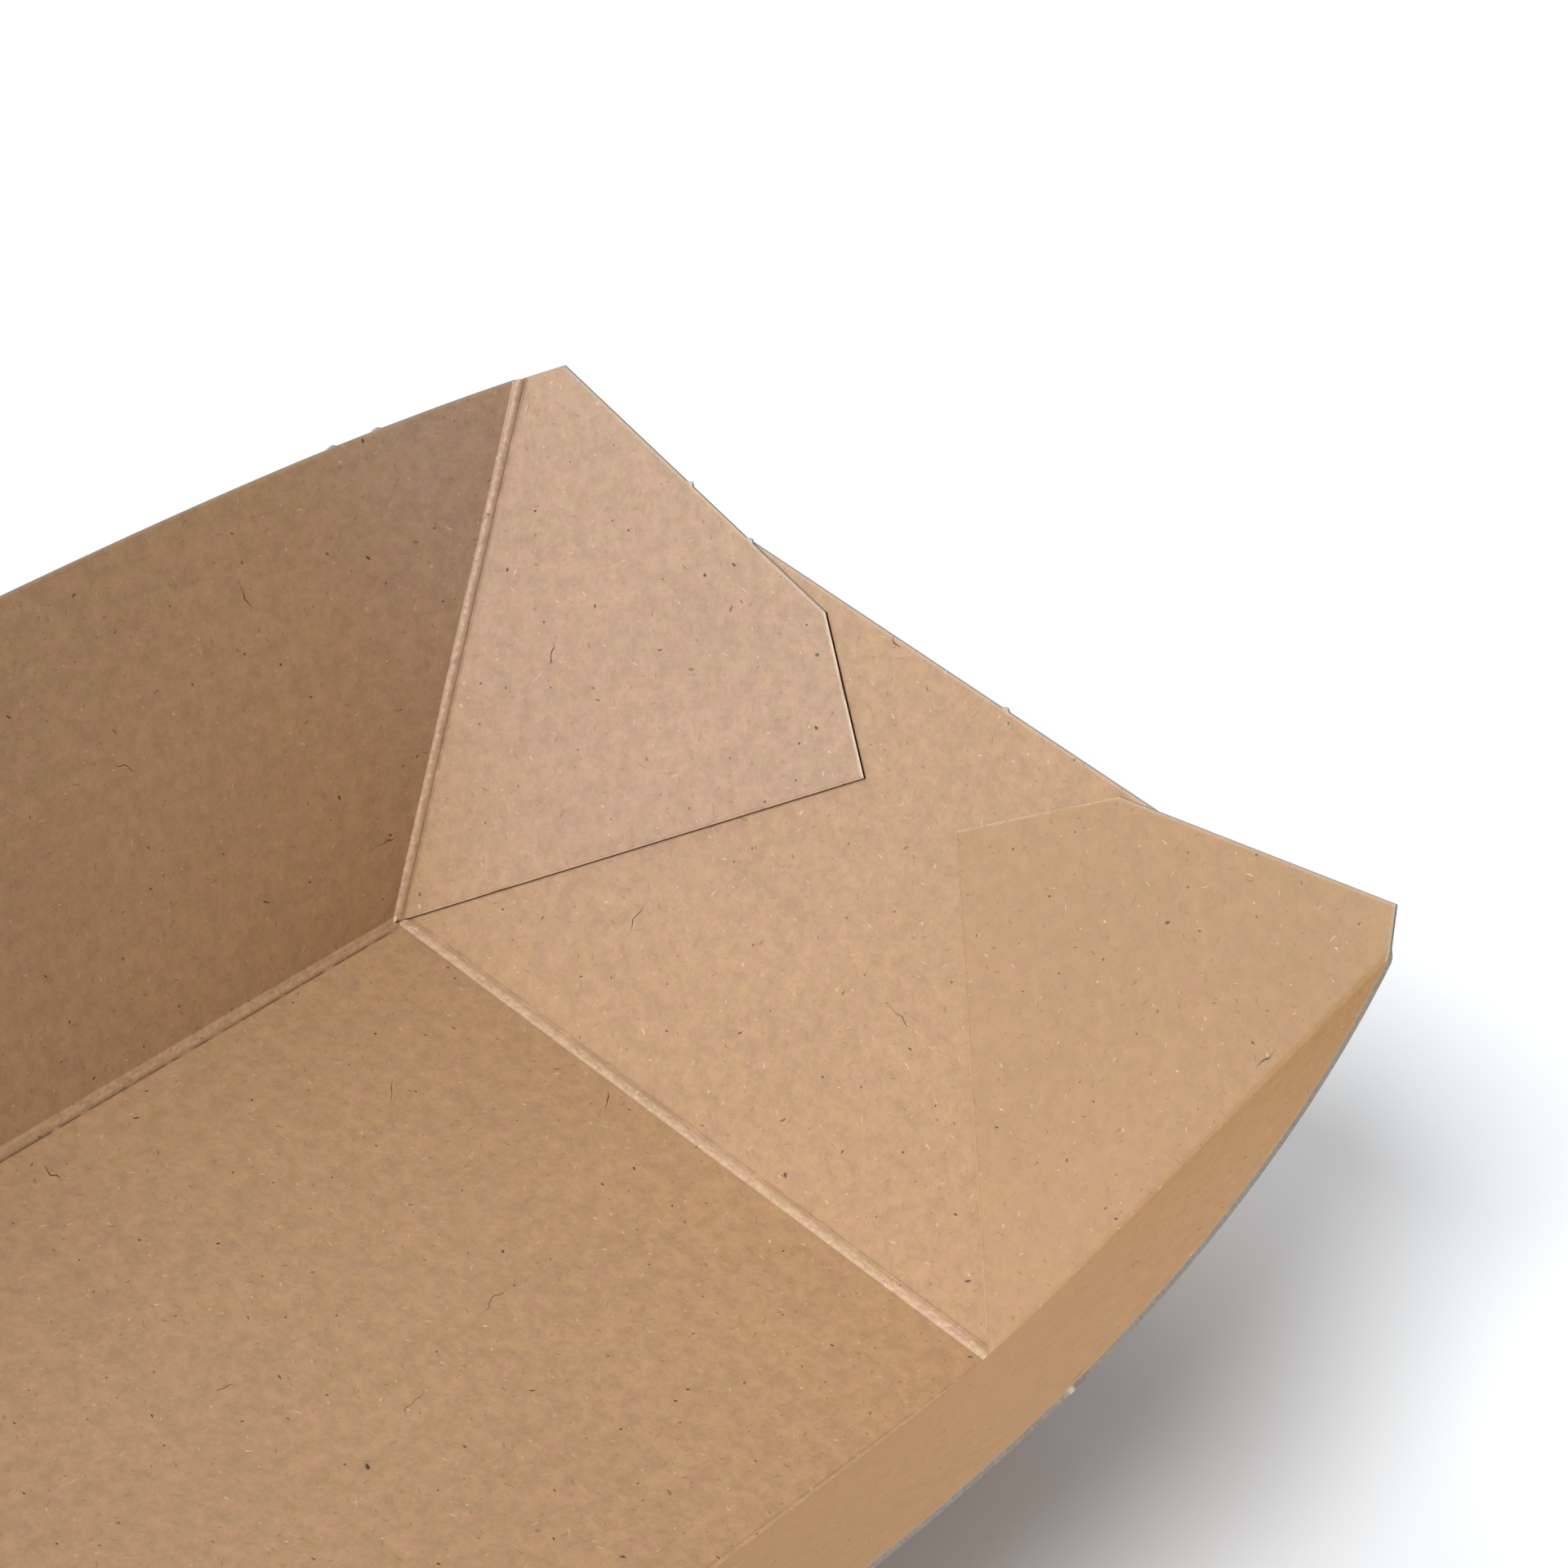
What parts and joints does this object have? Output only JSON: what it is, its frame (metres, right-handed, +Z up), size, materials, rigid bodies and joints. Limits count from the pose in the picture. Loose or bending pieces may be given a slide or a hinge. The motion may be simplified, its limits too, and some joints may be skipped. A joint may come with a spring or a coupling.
{
  "type": "paperboard food tray",
  "caption": "Open food tray folded from one sheet of brown kraft paperboard, with bowed long walls, straight end walls and corner flaps folded in and glued inside.",
  "frame": {"origin": "on the underside of the base, in the middle of the tray's length and width", "axes": "X along the tray's length, Y across it, Z up out of the open top"},
  "size_m": [0.1646, 0.119, 0.0462],
  "materials": {
    "kraft_board": "uncoated brown kraft paperboard, matte, with fine fibres and dark specks"
  },
  "bodies": {
    "root": {"tray": "kraft_board"}
  },
  "joints": []
}
